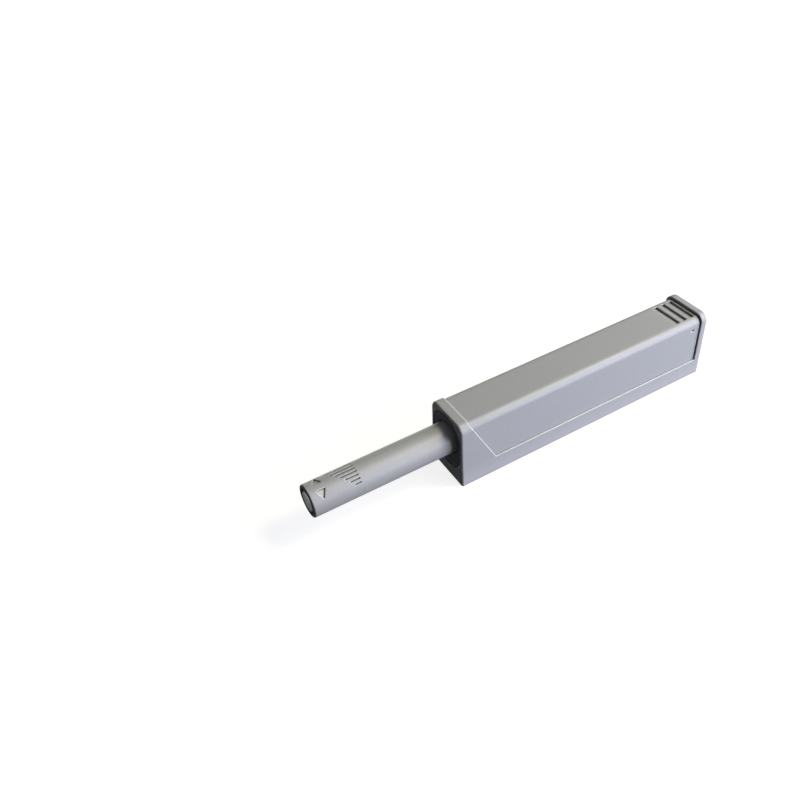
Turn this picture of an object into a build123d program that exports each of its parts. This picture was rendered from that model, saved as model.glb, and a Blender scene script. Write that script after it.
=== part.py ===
from build123d import *
import os
from math import asin, cos, degrees, pi, radians, sin

# Push-to-open touch latch with a surface housing, in millimetres.
# Z is up from the mounting face. The plunger points along -Y. The origin is the middle of the
# two screw holes on the mounting face.

# Housing, outside
HOUSING_LENGTH = 80.0
HOUSING_HEIGHT = 19.5
BASE_WIDTH = 14.2
SIDE_DRAFT = 0.5
END_DRAFT = 0.6
SHOULDER_RADIUS = 2.4
PANEL_STEP = 0.45
COLLAR_LENGTH = 2.7
STRIP_HEIGHT = 5.1
COLLAR_FOOT = 10.2
REAR_FLANGE = 2.0
FLANGE_RISE = 0.4
SHADOW_WIDTH = 0.35
SHADOW_DEPTH = 0.3
EDGE_BREAK = 0.3

# Grip grooves on the roof and the small gate mark beside them
GRIP_COUNT = 3
GRIP_PITCH = 2.55
GRIP_LENGTH = 1.8
GRIP_DEPTH = 0.75
GRIP_HALF_WIDTH = 4.3
GRIP_TO_FLANGE = 0.4
GATE_RADIUS = 0.4
GATE_DEPTH = 0.5
GATE_TO_FLANGE = 2.5
GATE_HEIGHT = 16.0

# Housing, inside
SIDE_WALL = 1.3
FRONT_WALL = 3.0
REAR_WALL = 2.2
SLEEVE_RADIUS = 5.0
SLEEVE_WALL = 0.5
SLEEVE_FIT = 0.08
TUBE_WALL = 1.05
ROOF_WALL = 2.27
MOUTH_TOP_RIM = 0.45
MOUTH_SIDE_RIM = 0.3
MOUTH_SILL = 2.7
MOUTH_DEPTH = 1.6
FLANGE_GAP = 0.15
FLANGE_THICKNESS = 1.35
RIB_THICKNESS = 1.2
RIB_FROM_REAR = 6.0
TAB_LENGTH = 3.0
TAB_REACH = 0.55
TAB_HEIGHT = 1.1

# Mounting plate
HOLE_SPACING = 32.0
HOLE_RADIUS = 2.15
HEAD_RADIUS = 4.2
HEAD_SEAT = 2.4
PLATE_FRONT_MARGIN = 13.5
PLATE_REAR_MARGIN = 15.5
PLATE_SIDE_GAP = 0.3
PLATE_END_GAP = 0.15
BOSS_HEIGHT = 7.0
BOSS_HALF_LENGTH = 7.2
BOSS_SLOPE = 3.2
CHANNEL_HEIGHT = 3.8
END_HEIGHT = 3.4
CRADLE_GAP = 0.2
RAIL_HEIGHT = 1.5
RAIL_DEPTH = 0.6
RAIL_GAP = 0.2
NOTCH_LENGTH = 3.6
NOTCH_RISE = 0.6
NOTCH_PLACES = (7.3, 35.4, 52.5)
WINDOW_LENGTH = 1.7
WINDOW_HALF_WIDTH = 4.1
END_BAR = 2.3
DETENT_RADIUS = 0.6
HOOK_HALF_WIDTH = 1.4
HOOK_REACH = 1.0
HOOK_BOTTOM = 1.0
HOOK_HEIGHT = 1.1
HOOK_GAP = 0.2

# Travel
STROKE = 37.0
OVERTRAVEL = 0.35
ADJUST_IN = 1.0
COVER_TRAVEL = 5.0

# Plunger
EXTENSION = 38.0
PLUNGER_RADIUS = 4.15
PLUNGER_FIT = 0.06
PLUNGER_BORE = 3.3
TIP_ROUND = 0.4
TIP_SHOULDER = 0.12
CUP_RADIUS = 3.45
CUP_DEPTH = 5.2
CUP_RECESS = 0.35
CUP_WALL = 0.75
CUP_FLOOR = 0.8
CUP_FIT = 0.03
MAGNET_RECESS = 0.2
MAGNET_LENGTH = 3.6
TIP_WEB = 2.0
VENT_RADIUS = 0.8
KEY_RADIUS = 3.6
KEY_WIDTH = 1.16
KEY_COUNT = 4
KEY_RUN = 19.0

# Marks on the plunger
MARK_DEPTH = 0.35
RAY_COUNT = 8
RAY_PITCH = 13.5
RAY_START = 56.0
RAY_END = 12.7
RAY_SHORTEST = 1.6
RAY_GROWTH = 0.9
RAY_WIDTH = 0.38
ARROW_BASE = 2.0
ARROW_SPAN = 2.4
ARROW_SWEEP = 31.0
ARROW_CENTRE = 11.0
ARROW_GAP = 13.0
ARROW_DEPTH = 0.45
ARROW_SHALLOW = 0.12

# Cartridge, inside
LAND_LENGTH = 15.0
LEAD_CHAMFER = 0.45
BUFFER_LENGTH = 0.8
BUFFER_GAP = 0.2
COLLAR_FIT = 0.08
CAM_COLLAR = 2.0
CAM_RADIUS = 4.15
CAM_FLAT = 2.85
TRACK_DEPTH = 0.9
STEM_RADIUS = 2.9
STEM_FIT = 0.05
STEM_LENGTH = 14.0
INSERT_LENGTH = 5.9
INSERT_SETBACK = 0.1
SPIGOT_RADIUS = 2.0
SPIGOT_LENGTH = 3.8
RING_LENGTH = 2.0
RING_RADIUS = 3.15
RING_GAP = 0.1
RING_CLICKS = 8
DISC_THICKNESS = 0.2
DISC_HEIGHT = 0.45
CLIP_THICKNESS = 0.4
CLIP_GROOVE = 1.6
CLIP_MOUTH = 2.56
PLUG_LENGTH = 5.0
PLUG_FIT = 0.08
LUG_LENGTH = 1.6
LUG_WIDTH = 2.0

# Spring and its rod, set low beside the track
SPRING_DROP = 0.9
SPRING_RADIUS = 1.75
SPRING_WIRE = 0.5
SPRING_TURN_COUNT = 20
SPRING_FLAT_COUNT = 8
SPRING_ROOM = 0.2
SPRING_WEB = 1.4
ROD_RADIUS = 1.3
ROD_LENGTH = 31.4
ROD_DEPTH = 3.4
ROD_FIT = 0.03
ROD_HOLE_FIT = 0.15
SEAT_THICKNESS = 0.4

# Follower
PIVOT_INSET = 2.0
PIVOT_RADIUS = 0.5
PIVOT_FIT = 0.06
ARM_LENGTH = 15.5
ARM_WIDTH = 1.3
ARM_EYE = 1.1
ARM_THICKNESS = 0.5
ARM_GAP = 0.2
PEG_RADIUS = 0.4
PEG_HEAD = 0.62
PEG_HEAD_HEIGHT = 0.22
PEG_GAP = 0.1
BRANCH_OFFSET = 1.05
LEAF_THICKNESS = 0.15
LEAF_LENGTH = 11.0
LEAF_WIDTH = 1.2
LEAF_LIFT = 0.1

# Widths and heights that follow from the sizes above
TOP_WIDTH = BASE_WIDTH - 2 * SIDE_DRAFT
TAPER = SIDE_DRAFT / HOUSING_HEIGHT
MOUTH_WIDTH = TOP_WIDTH - 2 * MOUTH_SIDE_RIM
MOUTH_TOP = HOUSING_HEIGHT - MOUTH_TOP_RIM
POCKET_HALF = BASE_WIDTH / 2 - SIDE_WALL
HOUSING_BORE = SLEEVE_RADIUS + SLEEVE_FIT
AXIS_Z = HOUSING_HEIGHT - PANEL_STEP - ROOF_WALL - HOUSING_BORE

# Places along Y that follow
PLATE_FRONT = -HOLE_SPACING / 2 - PLATE_FRONT_MARGIN
PLATE_REAR = HOLE_SPACING / 2 + PLATE_REAR_MARGIN
FRONT = PLATE_FRONT - PLATE_END_GAP - FRONT_WALL
REAR = FRONT + HOUSING_LENGTH
TIP = FRONT - EXTENSION
CAVITY_REAR = REAR - REAR_WALL
SLEEVE_END = CAVITY_REAR - PLATE_END_GAP
FLANGE_FRONT = FRONT + MOUTH_DEPTH - FLANGE_THICKNESS
LAND_END = FRONT + MOUTH_DEPTH + LAND_LENGTH
COLLAR_FRONT = LAND_END + BUFFER_LENGTH + BUFFER_GAP
PLUNGER_END = COLLAR_FRONT - ADJUST_IN - BUFFER_GAP
PLUG_FRONT = SLEEVE_END - PLUG_LENGTH
SPRING_REAR = PLUG_FRONT - SEAT_THICKNESS
CAM_END = SPRING_REAR - STROKE - OVERTRAVEL
STEM_FRONT = COLLAR_FRONT - STEM_LENGTH
PIVOT_Y = PLUG_FRONT + PIVOT_INSET
SPRING_Z = AXIS_Z - SPRING_DROP

# Radii and heights that follow
SLEEVE_BORE = SLEEVE_RADIUS - SLEEVE_WALL
TUBE_RADIUS = HOUSING_BORE + TUBE_WALL
CRADLE_RADIUS = TUBE_RADIUS + CRADLE_GAP
SPRING_BORE = SPRING_RADIUS + SPRING_WIRE / 2 + SPRING_ROOM
FLAT_Z = AXIS_Z + CAM_FLAT
TRACK_Z = FLAT_Z - TRACK_DEPTH
ARM_Z = FLAT_Z + ARM_GAP
ARM_TOP = ARM_Z + ARM_THICKNESS
SWING = degrees(asin(BRANCH_OFFSET / ARM_LENGTH))
CLEAR = 1.0


def box(x, y, z):
    """A box between two values on each axis."""
    centre = Pos((x[0] + x[1]) / 2, (y[0] + y[1]) / 2, (z[0] + z[1]) / 2)
    return centre * Box(x[1] - x[0], y[1] - y[0], z[1] - z[0])


def bar(radius, y0, y1, z=AXIS_Z, x=0.0):
    """A round bar along Y."""
    return Pos(x, (y0 + y1) / 2, z) * Rot(90, 0, 0) * Cylinder(radius, y1 - y0)


def post(radius, z0, z1, x=0.0, y=0.0):
    """A round bar along Z."""
    return Pos(x, y, (z0 + z1) / 2) * Cylinder(radius, z1 - z0)


def turned(*points, z=AXIS_Z):
    """A ring or shaft turned about the line along Y at height z, from its radius and Y corners."""
    section = Plane.XY.offset(z) * Polygon(*points, align=None)
    return revolve(section, Axis((0, 0, z), (0, 1, 0)), 360)


def along_y(section, y0, y1):
    """A section drawn as X and Z, run from y0 to y1."""
    plane = Plane(origin=(0, y1, 0), x_dir=(1, 0, 0), z_dir=(0, -1, 0))
    return extrude(plane * section, y1 - y0, dir=(0, -1, 0))


def along_x(section, x0, x1):
    """A section drawn as Y and Z, run from x0 to x1."""
    plane = Plane(origin=(x0, 0, 0), x_dir=(0, 1, 0), z_dir=(1, 0, 0))
    return extrude(plane * section, x1 - x0, dir=(1, 0, 0))


def along_z(section, z0, z1):
    """A section drawn as X and Y, run from z0 to z1."""
    return extrude(Plane.XY.offset(z0) * section, z1 - z0, dir=(0, 0, 1))


def housing_section(inset=0.0, rise=0.0):
    """The housing's tapered outline with round shoulders, moved in by inset."""
    top = HOUSING_HEIGHT - inset + rise
    base_half = BASE_WIDTH / 2 - inset
    top_half = TOP_WIDTH / 2 - inset
    outline = Polygon((-base_half, 0), (base_half, 0), (top_half, top), (-top_half, top), align=None)
    return fillet(outline.vertices().group_by(Axis.Y)[-1], SHOULDER_RADIUS - inset)


def rear_slope(z, ahead=0.0):
    """Place on the rear face's slope at height z, or ahead of it."""
    return REAR - END_DRAFT * z / HOUSING_HEIGHT - ahead


def rear_strip(low, high, near, far):
    """Side view of a strip along the rear slope, between two distances ahead of the rear face."""
    return Polygon(
        (rear_slope(low, far), low), (rear_slope(low, near), low), (rear_slope(high, near), high),
        (rear_slope(high, far), high), align=None,
    )


def panel_outline():
    """Side view of the sunk panel: slanting collar edge, strip, rear flange."""
    above = HOUSING_HEIGHT + FLANGE_RISE + CLEAR
    front = FRONT + COLLAR_LENGTH
    return Polygon(
        (front, above), (front, HOUSING_HEIGHT - PANEL_STEP), (FRONT + COLLAR_FOOT, STRIP_HEIGHT),
        (rear_slope(STRIP_HEIGHT, REAR_FLANGE), STRIP_HEIGHT), (rear_slope(above, REAR_FLANGE), above),
        align=None,
    )


def panel_recess():
    """What is cut off the plain housing so that collar, strip and rear flange stand proud."""
    reach = BASE_WIDTH
    sunk = along_x(panel_outline(), -reach, reach)
    sunk -= along_y(housing_section(PANEL_STEP), FRONT - CLEAR, REAR + CLEAR)
    top = HOUSING_HEIGHT + CLEAR
    strip = rear_strip(STRIP_HEIGHT, top, REAR_FLANGE, REAR_FLANGE + SHADOW_WIDTH)
    shadow = along_x(strip, -reach, reach)
    shadow -= along_y(housing_section(PANEL_STEP + SHADOW_DEPTH), FRONT, REAR + CLEAR)
    return sunk + shadow


def grip_grooves():
    """Saw-tooth grooves across the roof, each with a steep face towards the front."""
    roof = HOUSING_HEIGHT - PANEL_STEP
    last = rear_slope(roof, REAR_FLANGE + SHADOW_WIDTH + GRIP_TO_FLANGE)
    cuts = []
    for step in range(GRIP_COUNT):
        deep = last - step * GRIP_PITCH
        tooth = Polygon(
            (deep - GRIP_LENGTH, roof), (deep, roof - GRIP_DEPTH), (deep, roof + CLEAR),
            (deep - GRIP_LENGTH, roof + CLEAR), align=None,
        )
        cuts.append(along_x(tooth, -GRIP_HALF_WIDTH, GRIP_HALF_WIDTH))
    return cuts


def gate_mark():
    """The small moulding pit high on the +X side, beside the rear flange."""
    side = BASE_WIDTH / 2 - PANEL_STEP - TAPER * GATE_HEIGHT
    place = Pos(side, rear_slope(GATE_HEIGHT, REAR_FLANGE + GATE_TO_FLANGE), GATE_HEIGHT)
    return place * Rot(0, 90, 0) * Cylinder(GATE_RADIUS, 2 * GATE_DEPTH)


def mouth_outline(gap=0.0):
    """The upright oval in the front face, moved in by gap."""
    middle = Pos(0, (MOUTH_TOP + MOUTH_SILL) / 2)
    return middle * SlotOverall(MOUTH_TOP - MOUTH_SILL - 2 * gap, MOUTH_WIDTH - 2 * gap, rotation=90)


def housing_pocket():
    """The open base: straight core between the side walls, up to the cartridge tube."""
    half_top = POCKET_HALF - TAPER * AXIS_Z
    core = Polygon(
        (-POCKET_HALF - TAPER * CLEAR, -CLEAR), (POCKET_HALF + TAPER * CLEAR, -CLEAR),
        (half_top, AXIS_Z), (-half_top, AXIS_Z), align=None,
    )
    pocket = along_y(core, FRONT + FRONT_WALL, CAVITY_REAR)
    return pocket - bar(TUBE_RADIUS, FRONT, REAR)


def tab_places():
    """Middle of each housing tab along Y: the plate's notches, one cover travel further back."""
    return [PLATE_FRONT + place + COVER_TRAVEL for place in NOTCH_PLACES]


def housing_cover():
    """The moulded housing."""
    body = along_y(housing_section(), FRONT, REAR)
    body += along_y(housing_section(rise=FLANGE_RISE), REAR - END_DRAFT - REAR_FLANGE, REAR)
    body -= panel_recess()
    draft = rear_strip(-CLEAR, HOUSING_HEIGHT + FLANGE_RISE + CLEAR, -CLEAR, 0)
    body -= along_x(draft, -BASE_WIDTH, BASE_WIDTH)
    for end in (0, -1):
        rim = body.faces().sort_by(Axis.Y)[end].edges().filter_by(lambda edge: edge.center().Z > EDGE_BREAK)
        body = chamfer(rim, EDGE_BREAK)
    body -= grip_grooves()
    body -= gate_mark()
    body -= housing_pocket()

    rib_y = CAVITY_REAR - RIB_FROM_REAR
    rib_top = AXIS_Z - HOUSING_BORE / 2
    body += box((-POCKET_HALF, POCKET_HALF), (rib_y, rib_y + RIB_THICKNESS), (RAIL_HEIGHT, rib_top))
    ridge_y = PLATE_REAR + RIB_THICKNESS
    ridge_z = END_HEIGHT + DETENT_RADIUS + CRADLE_GAP
    body += box((-HOOK_HALF_WIDTH, HOOK_HALF_WIDTH), (ridge_y, ridge_y + RIB_THICKNESS), (ridge_z, rib_top))
    for y in tab_places():
        for side in (-1, 1):
            inner = side * (POCKET_HALF - TAB_REACH)
            outer = side * (POCKET_HALF + SIDE_WALL / 2)
            z = RAIL_HEIGHT - RAIL_GAP
            span = (min(inner, outer), max(inner, outer))
            body += box(span, (y - TAB_LENGTH / 2, y + TAB_LENGTH / 2), (z - TAB_HEIGHT, z))

    body -= bar(HOUSING_BORE, FRONT - CLEAR, CAVITY_REAR)
    body -= along_y(mouth_outline(), FRONT - CLEAR, FRONT + MOUTH_DEPTH)
    slot_half = HOOK_HALF_WIDTH + HOOK_GAP
    slot_y = FRONT + FRONT_WALL - HOOK_REACH - PLATE_END_GAP
    slot_top = HOOK_BOTTOM + HOOK_HEIGHT + HOOK_GAP
    slot_rear = FRONT + FRONT_WALL + CLEAR
    return body - box((-slot_half, slot_half), (slot_y, slot_rear), (HOOK_BOTTOM - HOOK_GAP, slot_top))


def boss_profile():
    """Side view of the plate: low ends, two bosses with sloped ends, channel between them."""
    near, far = HOLE_SPACING / 2 - BOSS_HALF_LENGTH, HOLE_SPACING / 2 + BOSS_HALF_LENGTH
    foot = BOSS_SLOPE / 2
    return Polygon(
        (PLATE_FRONT, 0), (PLATE_FRONT, END_HEIGHT), (-far - BOSS_SLOPE, END_HEIGHT), (-far, BOSS_HEIGHT),
        (-near, BOSS_HEIGHT), (-near + foot, CHANNEL_HEIGHT), (near - foot, CHANNEL_HEIGHT),
        (near, BOSS_HEIGHT), (far, BOSS_HEIGHT), (far + BOSS_SLOPE, END_HEIGHT), (PLATE_REAR, END_HEIGHT),
        (PLATE_REAR, 0), align=None,
    )


def screw_hole(y):
    """Countersunk hole: straight from the mounting face, then a cone up through the boss."""
    cone_top = BOSS_HEIGHT
    cone_rise = HEAD_RADIUS - HOLE_RADIUS
    hole = post(HOLE_RADIUS, -CLEAR, BOSS_HEIGHT + CLEAR, y=y)
    sink = Pos(0, y, HEAD_SEAT + cone_rise / 2) * Cone(HOLE_RADIUS, HEAD_RADIUS, cone_rise)
    return hole + sink + post(HEAD_RADIUS, HEAD_SEAT + cone_rise, cone_top + CLEAR, y=y)


def mounting_plate():
    """The bar that is screwed to the cabinet."""
    half = POCKET_HALF - PLATE_SIDE_GAP
    plate = along_x(boss_profile(), -half, half)
    plate = chamfer(plate.edges().filter_by(Axis.Z).group_by(Axis.Y)[0], RAIL_DEPTH)
    plate = chamfer(plate.edges().filter_by(Axis.Z).group_by(Axis.Y)[-1], RAIL_DEPTH)
    plate -= bar(CRADLE_RADIUS, PLATE_FRONT - CLEAR, PLATE_REAR + CLEAR)

    for side in (-1, 1):
        inner, outer = side * (half - RAIL_DEPTH), side * (half + CLEAR)
        span = (min(inner, outer), max(inner, outer))
        plate -= box(span, (PLATE_FRONT - CLEAR, PLATE_REAR + CLEAR), (-CLEAR, RAIL_HEIGHT))
        for place in NOTCH_PLACES:
            y = PLATE_FRONT + place
            z = (RAIL_HEIGHT - CLEAR, RAIL_HEIGHT + NOTCH_RISE)
            plate -= box(span, (y - NOTCH_LENGTH / 2, y + NOTCH_LENGTH / 2), z)

    for y in (-HOLE_SPACING / 2, HOLE_SPACING / 2):
        plate -= screw_hole(y)
    window_rear = PLATE_REAR - END_BAR
    plate -= box(
        (-WINDOW_HALF_WIDTH, WINDOW_HALF_WIDTH), (window_rear - WINDOW_LENGTH, window_rear),
        (-CLEAR, END_HEIGHT + CLEAR),
    )
    bump = Pos(0, PLATE_REAR - END_BAR / 2, END_HEIGHT) * Rot(0, 90, 0)
    plate += bump * Cylinder(DETENT_RADIUS, 2 * HOOK_HALF_WIDTH)
    notch_half = HOOK_HALF_WIDTH + 2 * HOOK_GAP
    notch_y = PLATE_FRONT + WINDOW_LENGTH
    plate -= box((-notch_half, notch_half), (PLATE_FRONT - CLEAR, notch_y), (-CLEAR, END_HEIGHT + CLEAR))
    hook_z = (HOOK_BOTTOM, HOOK_BOTTOM + HOOK_HEIGHT)
    plate += box((-HOOK_HALF_WIDTH, HOOK_HALF_WIDTH), (PLATE_FRONT - HOOK_REACH, notch_y + CLEAR), hook_z)
    return plate


def cartridge_sleeve():
    """Round cartridge body: oval flange, running land for the plunger, wider bore behind it."""
    land = PLUNGER_RADIUS + PLUNGER_FIT
    rear_of_flange = FLANGE_FRONT + FLANGE_THICKNESS
    sleeve = along_y(mouth_outline(FLANGE_GAP), FLANGE_FRONT, rear_of_flange)
    sleeve += bar(SLEEVE_RADIUS, rear_of_flange, SLEEVE_END)
    sleeve -= turned(
        (0, FLANGE_FRONT), (land + LEAD_CHAMFER, FLANGE_FRONT), (land, FLANGE_FRONT + LEAD_CHAMFER),
        (land, LAND_END), (SLEEVE_BORE, LAND_END), (SLEEVE_BORE, SLEEVE_END), (0, SLEEVE_END),
    )
    reach = SLEEVE_RADIUS + CLEAR
    middle = PLUG_FRONT + PLUG_LENGTH / 2
    room = LUG_LENGTH / 2 + PLUG_FIT
    half = LUG_WIDTH / 2 + PLUG_FIT
    return sleeve - box((-reach, reach), (middle - room, middle + room), (AXIS_Z - half, AXIS_Z + half))


def end_plug():
    """Rear plug with two snap lugs, the rod's hole and the slot and bore for the follower."""
    radius = SLEEVE_BORE - PLUG_FIT
    plug = bar(radius, PLUG_FRONT, SLEEVE_END)
    middle = PLUG_FRONT + PLUG_LENGTH / 2
    lug = SLEEVE_RADIUS - PLUG_FIT
    y = (middle - LUG_LENGTH / 2, middle + LUG_LENGTH / 2)
    plug += box((-lug, lug), y, (AXIS_Z - LUG_WIDTH / 2, AXIS_Z + LUG_WIDTH / 2))
    plug -= bar(ROD_RADIUS + ROD_FIT, PLUG_FRONT - CLEAR, PLUG_FRONT + ROD_DEPTH, SPRING_Z)
    slot_half = ARM_EYE + BRANCH_OFFSET
    slot_top = ARM_TOP + LEAF_LIFT + 2 * LEAF_THICKNESS + ARM_GAP
    slot_rear = PIVOT_Y + ARM_EYE + ARM_GAP
    plug -= box((-slot_half, slot_half), (PLUG_FRONT - CLEAR, slot_rear), (FLAT_Z, slot_top))
    return plug - post(PIVOT_RADIUS + ROD_FIT, TRACK_Z, AXIS_Z + SLEEVE_RADIUS, y=PIVOT_Y)


def pivot_pin():
    """The follower's pivot, from its blind hole in the plug up to the sleeve."""
    return post(PIVOT_RADIUS, TRACK_Z + ROD_FIT, AXIS_Z + SLEEVE_BORE - PLUG_FIT - ROD_FIT, y=PIVOT_Y)


def follower_leaf():
    """Thin strip held by the pivot pin, its front end bent down close to the arm."""
    rear = PIVOT_Y + ARM_EYE
    front = rear - LEAF_LENGTH
    low = ARM_TOP + LEAF_LIFT
    high = low + LEAF_THICKNESS
    line = Polygon(
        (rear, high), (rear, high + LEAF_THICKNESS), (PLUG_FRONT, high + LEAF_THICKNESS),
        (front, low + LEAF_THICKNESS), (front, low), (PLUG_FRONT, high), align=None,
    )
    leaf = along_x(line, -LEAF_WIDTH / 2, LEAF_WIDTH / 2)
    leaf += post(ARM_EYE, high, high + LEAF_THICKNESS, y=PIVOT_Y)
    return leaf - post(PIVOT_RADIUS + ROD_FIT, ARM_TOP, AXIS_Z + SLEEVE_RADIUS, y=PIVOT_Y)


def follower_plane(z):
    """Plan of the follower at height z: origin on the pivot, Y along the arm over the push-in branch."""
    across = (cos(radians(SWING)), -sin(radians(SWING)), 0)
    return Plane(origin=(0, PIVOT_Y, z), x_dir=across, z_dir=(0, 0, 1))


def follower_arm():
    """Stamped arm: eye on the pivot, straight shank, round end for the peg."""
    peg = Pos(0, -ARM_LENGTH)
    plan = Circle(ARM_EYE) + peg * Circle(ARM_WIDTH / 2)
    plan += Pos(0, -ARM_LENGTH / 2) * Rectangle(ARM_WIDTH, ARM_LENGTH)
    plan -= Circle(PIVOT_RADIUS + PIVOT_FIT)
    plan -= peg * Circle(PEG_RADIUS + ROD_FIT)
    return extrude(follower_plane(ARM_Z) * plan, ARM_THICKNESS, dir=(0, 0, 1))


def follower_peg():
    """Steel peg, its head on the arm and its foot just above the track's floor."""
    foot = TRACK_Z + PEG_GAP
    place = Pos(0, -ARM_LENGTH)
    shank = extrude(follower_plane(foot) * (place * Circle(PEG_RADIUS)), ARM_TOP - foot, dir=(0, 0, 1))
    head = extrude(follower_plane(ARM_TOP) * (place * Circle(PEG_HEAD)), PEG_HEAD_HEIGHT, dir=(0, 0, 1))
    return shank + head


def track_outline():
    """Plan of the track: funnel mouth, two branches round the heart, end pocket with a tooth."""
    room = PEG_RADIUS + PEG_GAP
    half = BRANCH_OFFSET + room
    mouth = half + room
    peg_deep = PIVOT_Y - ARM_LENGTH - STROKE
    deep = peg_deep - room - PEG_GAP
    tooth = BRANCH_OFFSET - room
    walls = Polygon(
        (-mouth, CAM_END + CLEAR), (-mouth, CAM_END), (-half, CAM_END - 2 * CLEAR), (-half, deep),
        (-tooth, deep), (-PEG_GAP, deep + PEG_RADIUS), (tooth, deep), (half, deep),
        (half, CAM_END - 2 * CLEAR), (mouth, CAM_END), (mouth, CAM_END + CLEAR), align=None,
    )
    notch = peg_deep + 2 * PEG_RADIUS + room + CLEAR
    lobe = notch - 2 * PEG_RADIUS
    heart = Polygon(
        (-tooth, lobe + PEG_RADIUS), (-tooth / 2, lobe), (0, notch), (tooth / 2, lobe),
        (tooth, lobe + PEG_RADIUS), (tooth, notch + 2 * STROKE / SPRING_TURN_COUNT),
        (PEG_GAP, CAM_END - 5 * CLEAR), (-tooth, notch + 2 * STROKE / SPRING_TURN_COUNT), align=None,
    )
    return walls - heart


def cam_carriage():
    """Moulded carriage: cam body with the heart-shaped track, stop collar, adjusting stem."""
    collar = SLEEVE_BORE - COLLAR_FIT
    collar_rear = COLLAR_FRONT + CAM_COLLAR
    spigot_front = STEM_FRONT - SPIGOT_LENGTH
    clip_rear = STEM_FRONT - RING_GAP - RING_LENGTH - DISC_HEIGHT - RING_GAP
    clip_front = clip_rear - CLIP_THICKNESS - ROD_FIT
    body = turned(
        (0, spigot_front), (SPIGOT_RADIUS, spigot_front), (SPIGOT_RADIUS, clip_front),
        (CLIP_GROOVE, clip_front), (CLIP_GROOVE, clip_rear), (SPIGOT_RADIUS, clip_rear),
        (SPIGOT_RADIUS, STEM_FRONT), (STEM_RADIUS, STEM_FRONT), (STEM_RADIUS, COLLAR_FRONT),
        (collar, COLLAR_FRONT), (collar, collar_rear), (CAM_RADIUS, collar_rear), (CAM_RADIUS, CAM_END),
        (0, CAM_END),
    )
    reach = CAM_RADIUS + CLEAR
    body -= box((-reach, reach), (collar_rear + CLEAR, CAM_END + CLEAR), (FLAT_Z, AXIS_Z + reach))
    body -= along_z(track_outline(), TRACK_Z, AXIS_Z + reach)
    spring_front = COLLAR_FRONT + SPRING_WEB
    body -= bar(SPRING_BORE, spring_front, CAM_END + CLEAR, SPRING_Z)
    rod_reach = SPRING_REAR + ROD_DEPTH + SEAT_THICKNESS - ROD_LENGTH - STROKE - CLEAR
    return body - bar(ROD_RADIUS + ROD_HOLE_FIT, rod_reach, spring_front, SPRING_Z)


def guide_rod():
    """Steel rod from the plug through the spring."""
    rear = PLUG_FRONT + ROD_DEPTH
    return bar(ROD_RADIUS, rear - ROD_LENGTH, rear, SPRING_Z)


def spring_seat():
    """Washer between spring and plug."""
    outer = SPRING_RADIUS + SPRING_WIRE
    inner = ROD_RADIUS + ROD_FIT
    ring = bar(outer, PLUG_FRONT - SEAT_THICKNESS, PLUG_FRONT, SPRING_Z)
    return ring - bar(inner, PLUG_FRONT - CLEAR, PLUG_FRONT + CLEAR, SPRING_Z)


def ejector_spring():
    """Compression spring, drawn as square wire in short straight runs along a helix."""
    front = COLLAR_FRONT + SPRING_WEB + SPRING_WIRE / 2
    length = SPRING_REAR - SPRING_WIRE / 2 - front
    corners = SPRING_TURN_COUNT * SPRING_FLAT_COUNT
    points = []
    for index in range(corners + 1):
        angle = 2 * pi * index / SPRING_FLAT_COUNT
        x, z = SPRING_RADIUS * cos(angle), SPRING_RADIUS * sin(angle)
        points.append((x, front + length * index / corners, SPRING_Z + z))
    path = Polyline(*points)
    start = Plane(origin=points[0], z_dir=path % 0)
    wire = Rectangle(SPRING_WIRE, SPRING_WIRE)
    return sweep(start * wire, path, transition=Transition.RIGHT)


def buffer_ring():
    """Soft ring between the sleeve's land and the carriage's collar."""
    inner = PLUNGER_RADIUS + PLUNGER_FIT + ROD_FIT
    outer = SLEEVE_BORE - ROD_FIT
    return bar(outer, LAND_END, LAND_END + BUFFER_LENGTH) - bar(inner, LAND_END - CLEAR, LAND_END + CLEAR)


def key_bars(radius, width, y0, y1):
    """Crossed bars that give the keys of the detent ring and the grooves for them."""
    bars = []
    for index in range(KEY_COUNT // 2):
        slab = box((-radius, radius), (y0, y1), (-width / 2, width / 2))
        bars.append(Pos(0, 0, AXIS_Z) * Rot(0, 180 * index / (KEY_COUNT // 2), 0) * slab)
    return bars


def detent_ring():
    """Ring on the stem's spigot: keys in the plunger's grooves, clicks cut in its rear face."""
    rear = STEM_FRONT - RING_GAP
    front = rear - RING_LENGTH
    ring = bar(RING_RADIUS, front, rear)
    for slab in key_bars(KEY_RADIUS - 2 * STEM_FIT, KEY_WIDTH - 2 * STEM_FIT, front, rear):
        ring += slab
    for index in range(RING_CLICKS // 2):
        notch = box((-RING_RADIUS, RING_RADIUS), (rear - RING_GAP, rear + CLEAR), (-RING_GAP, RING_GAP))
        ring -= Pos(0, 0, AXIS_Z) * Rot(0, 360 * (index + 0.5) / RING_CLICKS, 0) * notch
    return ring - bar(SPIGOT_RADIUS + STEM_FIT, front - CLEAR, rear + CLEAR)


def disc_spring():
    """Conical washer in front of the detent ring."""
    rear = STEM_FRONT - RING_GAP - RING_LENGTH
    outer = RING_RADIUS - RING_GAP
    inner = SPIGOT_RADIUS + STEM_FIT
    drop = DISC_HEIGHT - DISC_THICKNESS
    rear -= RING_GAP / 2
    return turned(
        (inner, rear - drop), (outer, rear), (outer, rear - DISC_THICKNESS),
        (inner, rear - drop - DISC_THICKNESS),
    )


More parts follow.
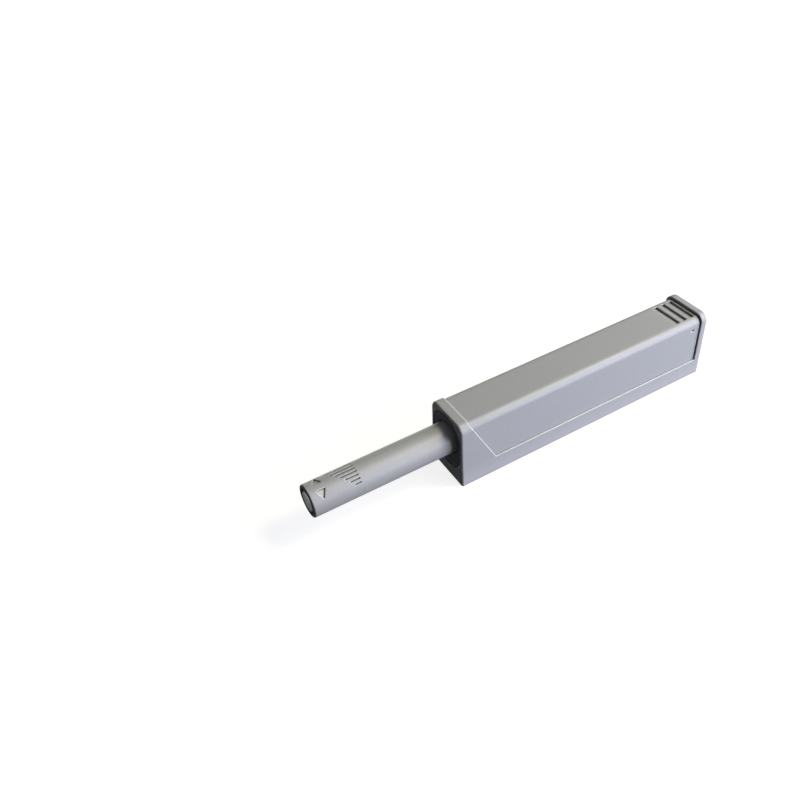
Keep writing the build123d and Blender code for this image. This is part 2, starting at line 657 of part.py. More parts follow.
def retaining_clip():
    """Open clip in the groove at the front of the spigot."""
    rear = STEM_FRONT - RING_GAP - RING_LENGTH - DISC_HEIGHT - RING_GAP
    clip = bar(RING_RADIUS - 2 * RING_GAP, rear - CLIP_THICKNESS, rear)
    clip -= bar(CLIP_GROOVE + ROD_FIT, rear - CLEAR, rear + CLEAR)
    mouth = (-CLIP_MOUTH / 2, CLIP_MOUTH / 2)
    return clip - box(mouth, (rear - CLEAR, rear + CLEAR), (AXIS_Z, AXIS_Z + RING_RADIUS))


def threaded_insert():
    """Nut pressed into the plunger's rear end, running on the stem."""
    rear = PLUNGER_END - INSERT_SETBACK
    nut = bar(KEY_RADIUS - ROD_FIT, rear - INSERT_LENGTH, rear)
    return nut - bar(STEM_RADIUS + STEM_FIT, rear - INSERT_LENGTH - CLEAR, rear + CLEAR)


def ray_marks():
    """Grooves along the plunger, all ending on one ring and growing longer round it."""
    cuts = []
    for index in range(RAY_COUNT):
        length = RAY_SHORTEST + index * RAY_GROWTH
        groove = box(
            (-RAY_WIDTH / 2, RAY_WIDTH / 2), (TIP + RAY_END - length, TIP + RAY_END),
            (PLUNGER_RADIUS - MARK_DEPTH, PLUNGER_RADIUS + CLEAR),
        )
        cuts.append(Pos(0, 0, AXIS_Z) * Rot(0, RAY_START - index * RAY_PITCH, 0) * groove)
    return cuts


def arrow_marks():
    """Two triangles that point round the plunger, one each way, with floors that fall to the rear."""
    middle = radians(ARROW_SWEEP) * PLUNGER_RADIUS / 2
    base_y = TIP + ARROW_BASE
    rear_y = base_y + ARROW_SPAN
    shell = turned(
        (PLUNGER_RADIUS - ARROW_SHALLOW, base_y), (PLUNGER_RADIUS + CLEAR, base_y),
        (PLUNGER_RADIUS + CLEAR, rear_y), (PLUNGER_RADIUS - ARROW_DEPTH, rear_y), z=0.0,
    )
    cuts = []
    for side in (-1, 1):
        head = Polygon(
            (-side * middle, base_y), (side * middle, base_y + ARROW_SPAN / 2), (-side * middle, rear_y),
            align=None,
        )
        wedge = along_z(head, CUP_RADIUS / 2, PLUNGER_RADIUS + CLEAR)
        turn = ARROW_CENTRE + side * (ARROW_GAP + ARROW_SWEEP / 2)
        cuts.append(Pos(0, 0, AXIS_Z) * Rot(0, turn, 0) * (wedge & shell))
    return cuts


def plunger_tube():
    """The plunger: seat for the cup at its tip, web, long bore with key grooves to the rear."""
    seat = TIP + CUP_DEPTH
    web = seat + TIP_WEB
    tube = turned(
        (CUP_RADIUS, TIP), (PLUNGER_RADIUS - TIP_ROUND, TIP),
        (PLUNGER_RADIUS - TIP_SHOULDER, TIP + TIP_SHOULDER), (PLUNGER_RADIUS, TIP + TIP_ROUND),
        (PLUNGER_RADIUS, PLUNGER_END), (PLUNGER_BORE, PLUNGER_END),
        (PLUNGER_BORE, web), (VENT_RADIUS, web), (VENT_RADIUS, seat), (CUP_RADIUS, seat),
    )
    for slab in key_bars(KEY_RADIUS, KEY_WIDTH, PLUNGER_END - KEY_RUN, PLUNGER_END + CLEAR):
        tube -= slab
    tube -= bar(KEY_RADIUS, PLUNGER_END - INSERT_LENGTH - INSERT_SETBACK, PLUNGER_END + CLEAR)
    tube -= ray_marks()
    return tube - arrow_marks()


def magnet_cup():
    """Steel cup that carries the magnet."""
    front = TIP + CUP_RECESS
    rear = TIP + CUP_DEPTH - CUP_FIT
    outer = CUP_RADIUS - CUP_FIT
    inner = outer - CUP_WALL
    floor = rear - CUP_FLOOR
    return turned((inner, front), (outer, front), (outer, rear), (0, rear), (0, floor), (inner, floor))


def tip_magnet():
    """Disc magnet on the cup's floor."""
    rear = TIP + CUP_DEPTH - CUP_FIT - CUP_FLOOR
    magnet = bar(CUP_RADIUS - 2 * CUP_FIT - CUP_WALL, rear - MAGNET_LENGTH, rear)
    return chamfer(magnet.edges().group_by(Axis.Y)[0], MAGNET_RECESS / 2)


PIECES = (
    mounting_plate, housing_cover, cartridge_sleeve, end_plug, pivot_pin, follower_leaf, guide_rod,
    spring_seat, ejector_spring, buffer_ring, follower_arm, follower_peg, cam_carriage, disc_spring,
    retaining_clip, detent_ring, threaded_insert, plunger_tube, magnet_cup, tip_magnet,
)

os.makedirs("parts", exist_ok=True)
for piece in PIECES:
    export_step(piece(), f"parts/{piece.__name__}.step")
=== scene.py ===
"""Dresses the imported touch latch: finishes for its moulded, metal and rubber pieces, a wound
ejector spring, the pole disc on the magnet, and the studio it is looked at in.

Run as a script inside Blender. Sizes are in metres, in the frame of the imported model.
"""

import math
from collections import namedtuple

import bpy
import numpy as np
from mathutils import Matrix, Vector


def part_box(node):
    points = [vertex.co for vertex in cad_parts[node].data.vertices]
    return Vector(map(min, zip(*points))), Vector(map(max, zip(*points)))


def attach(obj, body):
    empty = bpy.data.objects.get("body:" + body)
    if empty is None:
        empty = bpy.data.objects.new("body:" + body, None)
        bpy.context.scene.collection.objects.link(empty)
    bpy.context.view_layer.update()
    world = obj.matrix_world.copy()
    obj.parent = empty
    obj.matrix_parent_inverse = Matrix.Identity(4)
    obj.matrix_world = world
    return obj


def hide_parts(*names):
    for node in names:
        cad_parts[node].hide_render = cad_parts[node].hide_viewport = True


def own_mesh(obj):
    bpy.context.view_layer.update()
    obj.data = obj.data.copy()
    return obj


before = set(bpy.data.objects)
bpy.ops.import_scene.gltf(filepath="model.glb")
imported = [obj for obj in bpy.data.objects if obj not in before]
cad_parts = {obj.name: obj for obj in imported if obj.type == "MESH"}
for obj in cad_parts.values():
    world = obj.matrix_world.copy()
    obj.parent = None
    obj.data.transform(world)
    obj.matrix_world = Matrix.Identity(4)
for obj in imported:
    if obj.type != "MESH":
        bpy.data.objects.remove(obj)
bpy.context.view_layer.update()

bl_info = {
    "name": "Touch latch dressing",
    "version": (1, 0, 0),
    "blender": (4, 5, 0),
    "location": "View3D > Sidebar > Touch latch",
    "description": "Finishes, spring and studio for a packed push-to-open touch latch",
    "category": "Object",
}

# Taken from the imported solids: the spring's room and rest length, the plunger's end and the magnet.
SPRING_LOW, SPRING_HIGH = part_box("ejector_spring")
SPRING_CENTRE = (SPRING_LOW + SPRING_HIGH) / 2
SPRING_REST = SPRING_HIGH[1] - SPRING_LOW[1]
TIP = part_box("plunger_tube")[0][1]
MAGNET_LOW, MAGNET_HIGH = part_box("tip_magnet")

# Scale of the lines of metal along X, Y and Z, where a small number draws them out: drawn along Y,
# turned about Y, and even.
ALONG, ROUND, EVEN = (1.0, 0.06, 1.0), (0.1, 1.0, 0.1), (1.0, 1.0, 1.0)

# An end of a moulded piece that has another tone: the axis, the two places between which it
# fades out, its share of the base colour, and the least roughness there.
Band = namedtuple("Band", "axis full gone share dull")


def colour(name, text, default):
    """A colour property."""
    return bpy.props.FloatVectorProperty(
        name=name, description=text, default=default, size=3, min=0.0, max=1.0, subtype="COLOR"
    )


def length(name, text, default):
    """A length property, in metres."""
    return bpy.props.FloatProperty(
        name=name, description=text, default=default, min=0.0, precision=5,
        subtype="DISTANCE", unit="LENGTH",
    )


def factor(name, text, default):
    """A share from 0 to 1."""
    return bpy.props.FloatProperty(
        name=name, description=text, default=default, min=0.0, max=1.0, subtype="FACTOR"
    )


def power(name, text, default):
    """The power of a lamp, in watts."""
    return bpy.props.FloatProperty(name=name, description=text, default=default, min=0.0, unit="POWER")


def point(name, text, default):
    """A point, in metres."""
    return bpy.props.FloatVectorProperty(
        name=name, description=text, default=default, size=3, subtype="TRANSLATION", unit="LENGTH"
    )


def amount(name, text, default, least=0.0):
    """A plain number."""
    return bpy.props.FloatProperty(name=name, description=text, default=default, min=least)


class LatchPlastics(bpy.types.PropertyGroup):
    """Colours and surface of the moulded pieces and the rubber ring"""

    housing: colour("Housing", "Silver-grey moulded housing", (0.350, 0.352, 0.358))
    plate: colour("Plate", "Pale grey moulded mounting plate", (0.430, 0.440, 0.435))
    plunger: colour("Plunger", "Mid grey moulded plunger", (0.322, 0.322, 0.322))
    # Near black, in part painted shade: it makes the mouth read as deep shade.
    cartridge: colour("Cartridge", "Dark sleeve and rear plug", (0.024, 0.026, 0.034))
    carriage: colour("Carriage", "Natural acetal of the cam carriage and click ring", (0.560, 0.545, 0.500))
    rubber: colour("Rubber", "Black buffer ring", (0.016, 0.016, 0.017))
    grain: length("Grain", "Size of the spark-eroded mould grain", 0.00016)
    grain_depth: length("Grain depth", "Height of the mould grain", 0.000012)
    bloom: length("Bloom", "Size of the powdery bloom on rubber", 0.0006)
    bloom_depth: length("Bloom depth", "Height of the bloom", 0.00001)
    cloud: length("Cloud", "Size of the faint cloudiness of moulded faces", 0.009)
    # Painted highlight: width of the lighter band of colour along convex moulded edges, standing in for the
    # light they catch.
    edge: length("Edge", "Width of the rubbed bright line along moulded edges", 0.00042)
    # Painted shade: reach of the darkening of inside corners, standing in for the shade that falls in them.
    corner_shade_reach: length("Crease", "Reach of the dust that darkens inside corners", 0.00042)
    # Painted light: height up to which the housing's foot is made paler, standing in for light thrown up from
    # the floor.
    border: length("Border", "Height of the paler band round the foot of the housing", 0.0060)
    # Length over which the plunger's end is made near black and dull.
    dark_end_length: length("Scuff", "Length of the dark scuffed end of the plunger", 0.00042)


class LatchMetals(bpy.types.PropertyGroup):
    """Colours and surface of the metal pieces"""

    steel: colour("Steel", "Bright drawn spring steel", (0.500, 0.500, 0.490))
    cup: colour("Cup", "Blackened steel of the magnet cup", (0.020, 0.020, 0.024))
    nickel: colour("Nickel", "Nickel plating of the magnet", (0.500, 0.510, 0.560))
    brass: colour("Brass", "Turned brass of the insert", (0.560, 0.420, 0.190))
    pole: colour("Pole", "Ground steel of the disc on the magnet", (0.440, 0.440, 0.520))
    patch: length("Patch", "Size of the faint patches on metal", 0.003)
    drawn: length("Drawn lines", "Width of the fine lines of drawn and turned metal", 0.00012)
    drawn_depth: length("Line depth", "Depth of those lines", 0.000003)
    mottle: length("Mottle", "Size of the faint mottle of the plating", 0.0003)


class LatchDisc(bpy.types.PropertyGroup):
    """Sizes of the pole disc"""

    recess: length("Recess", "How far the disc lies behind the end of the plunger", 0.00003)
    margin: length("Margin", "How far the disc's rim lies inside the magnet's", 0.0001)
    bedding: length("Bedding", "How far the disc is let into the magnet", 0.00002)
    chamfer: length("Chamfer", "Broken edge of the disc's face", 0.00012)
    dimple: length("Dimple", "Radius of the centre mark", 0.0004)
    ring: factor("Ring", "Radius of the fine turned ring as a share of the disc's", 0.66)
    flank: factor("Flank", "Width of each side of that ring as a share of the disc's radius", 0.04)
    ring_depth: length("Ring depth", "Depth of the fine turned ring", 0.00006)
    grind: length("Grind", "Size of the grinding marks", 0.00025)
    grind_depth: length("Grind depth", "Depth of the grinding marks", 0.000004)


class LatchSpring(bpy.types.PropertyGroup):
    """Sizes of the ejector spring"""

    wire: length("Wire", "Radius of the spring wire", 0.00025)
    coil: length("Coil", "Radius of the coil to the middle of the wire", 0.00175)
    marks: length("Marks", "Size of the drawing marks on the wire", 0.00009)
    turns: amount("Turns", "Open turns", 20.0, 4.0)
    closed: amount("Closed turns", "Turns laid together at each end", 1.25)


class LatchStudio(bpy.types.PropertyGroup):
    """Camera, lamps and floor"""

    place: point("Camera place", "Where the camera stands", (0.11422, -0.10394, 0.14695))
    turn: bpy.props.FloatVectorProperty(
        name="Camera turn", description="How the camera is turned", size=3,
        default=tuple(math.radians(a) for a in (47.679, 3.155, 59.726)), subtype="EULER", unit="ROTATION",
    )
    lens: amount("Lens", "Focal length in millimetres", 34.835, 1.0)
    side: power("Side light", "Power of the cool side light", 5.0)
    side_tint: colour("Side tint", "Colour of the side light", (0.776, 0.806, 1.0))
    top: power("Top light", "Power of the warm top light", 2.4)
    top_tint: colour("Top tint", "Colour of the top light", (1.0, 0.96, 0.72))
    far: power("Far light", "Power of the light on the far side", 2.0)
    low: power("Low light", "Power of the weak light from below", 0.3)
    ambient: factor("Ambient", "Level of the room's own light", 0.03)
    ambient_tint: colour("Ambient tint", "Colour of the room's own light", (0.72, 0.82, 1.0))
    shadow: factor("Shadow", "How far the floor near the latch takes its shadow", 0.3)
    shadow_near: length("Shadow near", "Distance up to which the floor takes the whole shadow", 0.08)
    shadow_far: length("Shadow far", "Distance at which the floor takes none", 0.30)
    floor_white: amount("Floor white", "Strength of the floor's white as it is looked at", 1.21)
    floor_gloss: amount("Floor in gloss", "Strength of the floor's white in reflections", 0.12)


class Tree:
    """The nodes of a material or a room, with short ways to add the kinds used here."""

    def __init__(self, owner):
        owner.use_nodes = True
        self.nodes = owner.node_tree.nodes
        self.join = owner.node_tree.links.new

    def add(self, kind, **settings):
        """A new node with its settings."""
        node = self.nodes.new("ShaderNode" + kind)
        for name, value in settings.items():
            setattr(node, name, value)
        return node

    def put(self, node, **values):
        """Gives sockets, by name with _ for a space, a value or a link."""
        for name, value in values.items():
            self.give(node.inputs[name.replace("_", " ")], value)
        return node

    def give(self, socket, value):
        """Links a socket, or sets its value. A colour gets its fourth number."""
        if isinstance(value, bpy.types.NodeSocket):
            self.join(value, socket)
        elif socket.type == "RGBA":
            socket.default_value = (*value, 1.0)
        else:
            socket.default_value = value

    def maths(self, operation, first, second, clamp=False):
        """The result of one operation on two values."""
        node = self.add("Math", operation=operation, use_clamp=clamp)
        self.give(node.inputs[0], first)
        self.give(node.inputs[1], second)
        return node.outputs[0]

    def noise(self, where, size, detail=2.0, stretch=(1, 1, 1)):
        """Noise with features of about the given size, drawn out where the stretch is below 1."""
        mapping = self.put(self.add("Mapping"), Scale=stretch, Vector=where)
        texture = self.put(self.add("TexNoise"), Scale=1.0 / size, Detail=detail, Vector=mapping.outputs[0])
        return texture.outputs["Fac"]

    def ramp(self, source, low, high, start, end):
        """Maps a value between low and high to start and end, held at both ends."""
        node = self.put(self.add("MapRange"), Value=source, From_Min=low, From_Max=high)
        return self.put(node, To_Min=start, To_Max=end).outputs["Result"]

    def spread(self, noise, start, end):
        """Maps the middle values of a noise, between which most of it lies, to start and end."""
        return self.ramp(noise, 0.3, 0.7, start, end)

    def tint(self, share, first, second):
        """A mix of two colours."""
        node = self.put(self.add("Mix", data_type="RGBA"), Factor=share)
        self.give(node.inputs[6], first)
        self.give(node.inputs[7], second)
        return node.outputs[2]

    def mixed(self, share, first, second):
        """A mix of two shaders."""
        node = self.add("MixShader")
        for socket, value in zip(node.inputs, (share, first, second)):
            self.give(socket, value)
        return node.outputs[0]

    def bump(self, height, strength, depth, normal=None):
        """A bumped normal, laid over another one if given."""
        node = self.put(self.add("Bump"), Strength=strength, Distance=depth, Height=height)
        if normal:
            self.put(node, Normal=normal)
        return node.outputs["Normal"]

    def edge(self, width):
        """1 on a narrow band along edges, and the rounded normal it is read from.

        The mask rises from 0 to 1 as the rounded normal leans from 10 to 31 degrees away from
        the true one.
        """
        rounded = self.put(self.add("Bevel", samples=6), Radius=width).outputs["Normal"]
        lean = self.add("VectorMath", operation="DOT_PRODUCT")
        self.give(lean.inputs[0], rounded)
        self.give(lean.inputs[1], self.add("NewGeometry").outputs["Normal"])
        return self.ramp(lean.outputs["Value"], 0.985, 0.86, 0.0, 1.0), rounded

    def open_air(self, reach):
        """1 in the open and on outside edges, falling towards 0 in inside corners."""
        corner = self.add("AmbientOcclusion", samples=8, only_local=True)
        return self.put(corner, Distance=reach).outputs["AO"]

    def seen_directly(self):
        """1 for rays of the camera, of gloss and through glass."""
        path = self.add("LightPath").outputs
        seen = self.maths("MAXIMUM", path["Is Camera Ray"], path["Is Glossy Ray"])
        return self.maths("MAXIMUM", seen, path["Is Transmission Ray"])


def blank(name):
    """A new material with its nodes, its shader and its object coordinates."""
    material = bpy.data.materials.new(name)
    tree = Tree(material)
    return material, tree, tree.nodes["Principled BSDF"], tree.add("TexCoord").outputs["Object"]


def shade(base, share):
    """A colour times a share, kept at or below 1."""
    return tuple(min(1.0, channel * share) for channel in base)


def moulded(name, base, finish, roughness, highlight_share, specular=0.5, streak=0.0, band=None):
    """Grained plastic: mottled colour, faint cloudiness, a painted highlight along edges and painted shade in
    inside corners.

    The mould grain is in the bump, with rub streaks along Y over it if asked. The edge share is the
    share of the base colour in the painted highlight along convex edges.
    """
    material, tree, shader, where = blank(name)
    mottle = tree.noise(where, finish.grain * 2.2, 3.0)
    cloud = tree.noise(where, finish.cloud, 2.0, (1.0, 0.35, 1.0))
    tone = tree.tint(tree.spread(mottle, 0.0, 1.0), shade(base, 0.93), shade(base, 1.06))
    cast = tree.tint(tree.spread(cloud, 0.0, 0.35), tone, shade(base, 0.90))
    # Painted highlight: a narrow band along convex edges is lightened towards the edge share of the base
    # colour.
    edge, normal = tree.edge(finish.edge)
    clear = tree.open_air(finish.corner_shade_reach)
    edge_highlight = tree.maths("MULTIPLY", edge, tree.ramp(clear, 0.80, 0.93, 0.0, 1.0))
    highlighted = tree.tint(edge_highlight, cast, shade(base, highlight_share))
    # Painted shade: inside corners are darkened towards a fifth of the base colour.
    lit = tree.tint(tree.ramp(clear, 0.5, 0.92, 0.8, 0.0), highlighted, shade(base, 0.2))
    rough = tree.spread(cloud, roughness - 0.05, roughness + 0.06)
    # A band of another tone near one end: a painted paler foot on the housing, a darker and duller end on the
    # plunger.
    if band:
        axes = tree.put(tree.add("SeparateXYZ"), Vector=where).outputs
        share = tree.ramp(axes[band.axis], band.full, band.gone, 0.9, 0.0)
        lit = tree.tint(share, lit, shade(base, band.share))
        dull = tree.ramp(axes[band.axis], band.full, band.gone, band.dull, 0.0)
        rough = tree.maths("MAXIMUM", rough, dull)
    normal = tree.bump(tree.noise(where, finish.grain), 0.55, finish.grain_depth, normal)
    if streak:
        rub = tree.noise(where, finish.grain * 1.5, 2.0, (1.0, 0.04, 1.0))
        normal = tree.bump(rub, streak, finish.grain_depth, normal)
    tree.put(shader, Base_Color=lit, Roughness=rough, Specular_IOR_Level=specular, Normal=normal)
    return material


def metal(name, base, finish, roughness, lay=ALONG, width=None, depth=None):
    """Drawn or turned metal: fine lines in colour and bump, and faint patches in colour and
    roughness. The lines lie one way, and may have another width and depth than usual."""
    material, tree, shader, where = blank(name)
    lines = tree.noise(where, width or finish.drawn, 3.0, lay)
    patches = tree.noise(where, finish.patch)
    tone = tree.tint(tree.spread(lines, 0.0, 1.0), shade(base, 0.82), shade(base, 1.12))
    cast = tree.tint(tree.ramp(patches, 0.35, 0.7, 0.0, 0.4), tone, shade(base, 0.78))
    rough = tree.spread(patches, roughness - 0.06, roughness + 0.1)
    normal = tree.bump(lines, 0.4, depth or finish.drawn_depth)
    tree.put(shader, Base_Color=cast, Roughness=rough, Metallic=1.0, Normal=normal)
    return material


def rubber(name, base, finish):
    """Dull rubber with a powdery bloom and a fine grain."""
    material, tree, shader, where = blank(name)
    bloom = tree.noise(where, finish.bloom, 4.0)
    tone = tree.tint(tree.ramp(bloom, 0.4, 0.75, 0.0, 1.0), base, shade(base, 3.0))
    rough = tree.spread(bloom, 0.72, 0.92)
    normal = tree.bump(bloom, 0.5, finish.bloom_depth)
    tree.put(shader, Base_Color=tone, Roughness=rough, Normal=normal)
    return material


def paint(material, *names):
    """Gives CAD nodes a finish through their material slots."""
    for name in names:
        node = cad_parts[name]
        if not node.material_slots:
            node.data.materials.append(material)
        for slot in node.material_slots:
            slot.material = material


def add_object(name, data):
    """A new object in the scene."""
    item = bpy.data.objects.new(name, data)
    bpy.context.scene.collection.objects.link(item)
    return item


def solid(name, points, faces, material, body, smooth):
    """A new closed piece from arrays of points and faces, riding on a body."""
    mesh = bpy.data.meshes.new(name)
    mesh.from_pydata(points.tolist(), [], faces)
    mesh.polygons.foreach_set("use_smooth", np.full(len(mesh.polygons), smooth))
    mesh.materials.append(material)
    mesh.update()
    piece = add_object(name, mesh)
    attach(piece, body)
    return piece


def closed_tube(rings, first, last):
    """Points and faces of a tube of rings, with its ends closed to a point each.

    Quads join neighbouring rings, and a fan of triangles joins each end ring to its point.
    """
    rows, sides = rings.shape[:2]
    row, col = np.meshgrid(np.arange(rows - 1), np.arange(sides), indexing="ij")
    here, right = row * sides + col, row * sides + (col + 1) % sides
    quads = np.stack([here, right, right + sides, here + sides], -1).reshape(-1, 4)
    ring, count = np.arange(sides), rows * sides
    after, base = (ring + 1) % sides, count - sides
    start = np.stack([np.full(sides, count), after, ring], 1)
    end = np.stack([np.full(sides, count + 1), base + ring, base + after], 1)
    points = np.concatenate([rings.reshape(-1, 3), [first, last]])
    return points, quads.tolist() + start.tolist() + end.tolist()


def turned_rings(profile, middle, sides):
    """Rings of a piece turned about a line along Y through a point.

    Each corner of the profile is (radius, Y), and its ring is middle + radius times
    (cos a, 0, -sin a), with the faces outwards where the profile runs from front to back.
    """
    angle = np.linspace(0, 2 * np.pi, sides, endpoint=False)
    radius, along = profile[:, 0][:, None], profile[:, 1][:, None]
    return np.stack([
        middle[0] + radius * np.cos(angle), along + 0 * angle, middle[2] - radius * np.sin(angle),
    ], -1)


def helix_rings(spring, low, high, centre, steps=40, sides=14, ease=0.8, play=1.02):
    """Rings of a round wire wound on a cylinder along Y.

    The centreline is coil radius times (cos a, sin a) across Y, and its Y is the integral of a
    pitch that is one wire thick, times the play, over the closed turns and wide between them. A
    smooth step eases one into the other over part of a turn. Each ring is wire radius times
    (cos b, sin b) in the plane square to the centreline.
    """
    total = spring.turns + 2 * spring.closed
    turn = np.linspace(0.0, total, int(total * steps) + 1)
    near = np.clip((turn - spring.closed + ease / 2) / ease, 0, 1)
    far = np.clip((total - spring.closed + ease / 2 - turn) / ease, 0, 1)
    wide = (near * near * (3 - 2 * near)) * (far * far * (3 - 2 * far))
    climb = np.concatenate([[0.0], np.cumsum((wide[1:] + wide[:-1]) / 2 * np.diff(turn))])
    tight = 2 * spring.wire * play
    room = high - low - 2 * spring.wire
    along = low + spring.wire + tight * turn + climb * (room - tight * total) / climb[-1]
    angle = 2 * np.pi * turn
    line = np.stack([
        centre[0] + spring.coil * np.cos(angle), along, centre[2] + spring.coil * np.sin(angle),
    ], 1)
    ahead = np.gradient(line, axis=0)
    ahead /= np.linalg.norm(ahead, axis=1)[:, None]
    out = np.stack([np.cos(angle), np.zeros_like(angle), np.sin(angle)], 1)
    out -= (out * ahead).sum(1)[:, None] * ahead
    out /= np.linalg.norm(out, axis=1)[:, None]
    side = np.cross(ahead, out)
    around = np.linspace(0, 2 * np.pi, sides, endpoint=False)[None, :, None]
    return line[:, None] + spring.wire * (np.cos(around) * out[:, None] + np.sin(around) * side[:, None])


class LATCH_OT_moulded_pieces(bpy.types.Operator):
    """Finish the moulded pieces"""

    bl_idname = "latch.moulded_pieces"
    bl_label = "Moulded pieces"

    def execute(self, context):
        finish = context.scene.latch_plastics
        # Painted light: the housing is made paler towards its foot, to 1.1 times the base colour, for light
        # thrown up from the floor.
        foot = Band("Z", finish.border * 0.3, finish.border, share=1.10, dull=0.0)
        # The plunger's end is blended towards 4% of its colour and full roughness over its last stretch at
        # the tip.
        dulled = Band("Y", TIP + finish.dark_end_length * 0.7, TIP + finish.dark_end_length, share=0.04, dull=1.0)
        # Each piece gets a painted highlight along its edges, at its edge share times its base colour.
        housing = moulded(
            "housing_plastic", finish.housing, finish, roughness=0.36, highlight_share=2.5, specular=0.36,
            band=foot,
        )
        plate = moulded("plate_plastic", finish.plate, finish, roughness=0.50, highlight_share=1.3)
        plunger = moulded(
            "plunger_plastic", finish.plunger, finish, roughness=0.44, highlight_share=2.2, specular=0.9,
            streak=0.3, band=dulled,
        )
        # The near-black sleeve is in part painted shade, for the deep shade inside the mouth.
        cartridge = moulded(
            "cartridge_plastic", finish.cartridge, finish, roughness=0.55, highlight_share=1.5, specular=0.4
        )
        acetal = moulded("acetal", finish.carriage, finish, roughness=0.38, highlight_share=1.2)
        paint(housing, "housing_cover")
        paint(plate, "mounting_plate")
        paint(plunger, "plunger_tube")
        paint(cartridge, "cartridge_sleeve", "end_plug")
        paint(acetal, "cam_carriage", "detent_ring")
        return {"FINISHED"}


class LATCH_OT_metal_pieces(bpy.types.Operator):
    """Finish the steel, nickel and brass pieces"""

    bl_idname = "latch.metal_pieces"
    bl_label = "Metal pieces"

    def execute(self, context):
        finish = context.scene.latch_metals
        drawn = metal("drawn_steel", finish.steel, finish, roughness=0.28)
        ground = metal("ground_steel", finish.steel, finish, roughness=0.22, lay=ROUND)
        black = metal("black_steel", finish.cup, finish, roughness=0.82)
        nickel = metal("nickel", finish.nickel, finish, roughness=0.24, lay=EVEN, width=finish.mottle)
        brass = metal("brass", finish.brass, finish, roughness=0.30, lay=ROUND)
        paint(drawn, "guide_rod", "spring_seat", "disc_spring", "retaining_clip")
        paint(drawn, "follower_arm", "follower_leaf")
        paint(ground, "pivot_pin", "follower_peg")
        paint(black, "magnet_cup")
        paint(nickel, "tip_magnet")
        paint(brass, "threaded_insert")
        return {"FINISHED"}


class LATCH_OT_pole_disc(bpy.types.Operator):
    """Lay the ground steel pole disc on the magnet"""

    bl_idname = "latch.pole_disc"
    bl_label = "Pole disc"

    def execute(self, context):
        disc, finish = context.scene.latch_disc, context.scene.latch_metals
        face, seat = TIP + disc.recess, MAGNET_LOW[1] + disc.bedding
        rim = (MAGNET_HIGH[0] - MAGNET_LOW[0]) / 2 - disc.margin
        if rim <= disc.dimple + disc.chamfer or seat <= face + disc.chamfer:
            raise RuntimeError("The magnet leaves no room for the pole disc")
        inner, outer = rim * (disc.ring - disc.flank), rim * (disc.ring + disc.flank)
        profile = np.array([
            (disc.dimple * 0.5, face + disc.dimple * 0.5),
            (disc.dimple, face),
            (inner, face),
            (rim * disc.ring, face + disc.ring_depth),
            (outer, face),
            (rim - disc.chamfer, face),
            (rim, face + disc.chamfer),
            (rim, seat),
        ])
        middle = (MAGNET_LOW + MAGNET_HIGH) / 2
        ends = [(middle[0], profile[row, 1], middle[2]) for row in (0, -1)]
        points, faces = closed_tube(turned_rings(profile, middle, sides=64), *ends)
        ground = metal(
            "ground_disc", finish.pole, finish, roughness=0.36, lay=EVEN, width=disc.grind,
            depth=disc.grind_depth,
        )
        solid("pole_disc", points, faces, ground, "plunger", smooth=False)
        return {"FINISHED"}


class LATCH_OT_buffer(bpy.types.Operator):
    """Finish the rubber buffer ring"""

    bl_idname = "latch.buffer"
    bl_label = "Buffer ring"

    def execute(self, context):
        finish = context.scene.latch_plastics
        paint(rubber("buffer_rubber", finish.rubber, finish), "buffer_ring")
        return {"FINISHED"}


class LATCH_OT_ejector_spring(bpy.types.Operator):
    """Wind the ejector spring from round wire with closed ends"""

    bl_idname = "latch.ejector_spring"
    bl_label = "Ejector spring"

    def execute(self, context):
        spring, finish = context.scene.latch_spring, context.scene.latch_metals
        if SPRING_REST < 2 * spring.wire * (spring.turns + 2 * spring.closed + 1):
            raise RuntimeError("The wound spring is longer than its place")
        rings = helix_rings(spring, SPRING_LOW[1], SPRING_HIGH[1], SPRING_CENTRE)
        points, faces = closed_tube(rings, rings[0].mean(0), rings[-1].mean(0))
        drawn = metal("spring_wire", finish.steel, finish, roughness=0.24, lay=EVEN, width=spring.marks)
        piece = solid("ejector_spring_wire", points, faces, drawn, "housing", smooth=True)
        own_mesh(piece)
        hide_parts("ejector_spring")
        return {"FINISHED"}


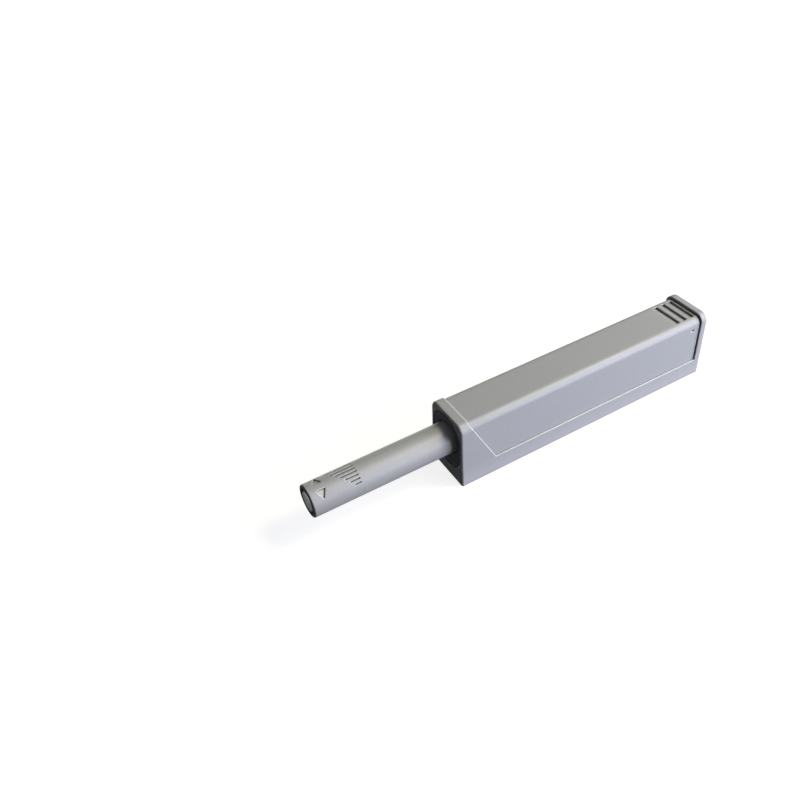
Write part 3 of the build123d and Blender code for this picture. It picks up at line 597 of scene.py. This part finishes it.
class LATCH_OT_studio(bpy.types.Operator):
    """Set up floor, lamps, room and camera"""

    bl_idname = "latch.studio"
    bl_label = "Studio"

    def execute(self, context):
        studio = context.scene.latch_studio
        self.floor(studio)
        self.room(context, studio)
        white = (1.0, 1.0, 1.0)
        self.lamp("side_light", studio.side, studio.side_tint, where=(0.305, 0.32, 0.11), size=0.5)
        self.lamp("top_light", studio.top, studio.top_tint, where=(0.175, 0.30, 0.505), size=0.16)
        self.lamp("far_light", studio.far, white, where=(-0.40, 0.10, -0.22), size=0.3)
        self.lamp("low_light", studio.low, white, where=(0.1, 0.2, -0.52), size=0.4)
        self.camera(context, studio)
        context.scene.view_settings.view_transform = "Standard"
        return {"FINISHED"}

    def lamp(self, name, watts, tint, where, size, aim=(0.0, 0.0, 0.01)):
        """A soft square lamp that looks at the latch."""
        lamp = bpy.data.lights.new(name, "AREA")
        lamp.energy, lamp.color, lamp.size = watts, tint, size
        item = add_object(name, lamp)
        item.location = where
        item.rotation_euler = (Vector(aim) - Vector(where)).to_track_quat("-Z", "Y").to_euler()

    def camera(self, context, studio):
        """The camera at the photograph's viewing angle."""
        lens = bpy.data.cameras.new("camera")
        lens.lens, lens.sensor_width = studio.lens, 36.0
        lens.clip_start, lens.clip_end = 0.01, 10.0
        camera = add_object("camera", lens)
        camera.location, camera.rotation_euler = studio.place, studio.turn
        context.scene.camera = camera

    def floor(self, studio, reach=1.5, down=-0.00005):
        """White floor that shows a light shadow, open to light from below."""
        mesh = bpy.data.meshes.new("floor")
        corners = [(-reach, -reach, down), (reach, -reach, down), (reach, reach, down), (-reach, reach, down)]
        mesh.from_pydata(corners, [], [(0, 1, 2, 3)])
        material, tree, shader, where = blank("floor_white")
        tree.put(shader, Base_Color=(0.93, 0.93, 0.93), Roughness=0.9, Specular_IOR_Level=0.0)
        camera_ray = tree.add("LightPath").outputs["Is Camera Ray"]
        strength = tree.ramp(camera_ray, 0.0, 1.0, studio.floor_gloss, studio.floor_white)
        white = tree.put(tree.add("Emission"), Color=(1.0, 1.0, 1.0), Strength=strength)
        away = tree.add("VectorMath", operation="LENGTH")
        tree.give(away.inputs[0], where)
        shaded = tree.ramp(
            away.outputs["Value"], studio.shadow_near, studio.shadow_far, studio.shadow, 0.0
        )
        ground = tree.mixed(shaded, white.outputs[0], shader.outputs[0])
        behind = tree.add("NewGeometry").outputs["Backfacing"]
        front = tree.maths("SUBTRACT", tree.seen_directly(), behind, clamp=True)
        shown = tree.mixed(front, tree.add("BsdfTransparent").outputs[0], ground)
        tree.join(shown, tree.nodes["Material Output"].inputs["Surface"])
        mesh.materials.append(material)
        add_object("floor", mesh)

    def room(self, context, studio):
        """White where it is looked at, a low even light elsewhere."""
        context.scene.world = bpy.data.worlds.new("room")
        tree = Tree(context.scene.world)
        dim = tree.nodes["Background"]
        tree.put(dim, Color=studio.ambient_tint, Strength=studio.ambient)
        white = tree.put(tree.add("Background"), Color=(1.0, 1.0, 1.0))
        shown = tree.mixed(tree.seen_directly(), dim.outputs[0], white.outputs[0])
        tree.join(shown, tree.nodes["World Output"].inputs["Surface"])


class LATCH_PT_panel(bpy.types.Panel):
    """Lists the pieces and their values"""

    bl_idname = "LATCH_PT_panel"
    bl_label = "Touch latch"
    bl_space_type = "VIEW_3D"
    bl_region_type = "UI"
    bl_category = "Touch latch"

    def draw(self, context):
        for group in GROUPS:
            values = getattr(context.scene, group)
            for name in values.bl_rna.properties.keys():
                if name not in ("rna_type", "name"):
                    self.layout.prop(values, name)
        for name in STEPS:
            self.layout.operator("latch." + name)


GROUPS = {
    "latch_plastics": LatchPlastics,
    "latch_metals": LatchMetals,
    "latch_disc": LatchDisc,
    "latch_spring": LatchSpring,
    "latch_studio": LatchStudio,
}
STEPS = ("moulded_pieces", "metal_pieces", "pole_disc", "buffer", "ejector_spring", "studio")
CLASSES = (
    *GROUPS.values(), LATCH_OT_moulded_pieces, LATCH_OT_metal_pieces, LATCH_OT_pole_disc, LATCH_OT_buffer,
    LATCH_OT_ejector_spring, LATCH_OT_studio, LATCH_PT_panel,
)


def register():
    """Registers the classes and gives the scene their values."""
    for item in CLASSES:
        bpy.utils.register_class(item)
    for name, group in GROUPS.items():
        setattr(bpy.types.Scene, name, bpy.props.PointerProperty(type=group))


def unregister():
    """Takes both away again."""
    for name in GROUPS:
        delattr(bpy.types.Scene, name)
    for item in reversed(CLASSES):
        bpy.utils.unregister_class(item)


def main():
    """Registers the add-on and makes every piece in order."""
    register()
    for name in STEPS:
        getattr(bpy.ops.latch, name)()


if __name__ == "__main__":
    main()
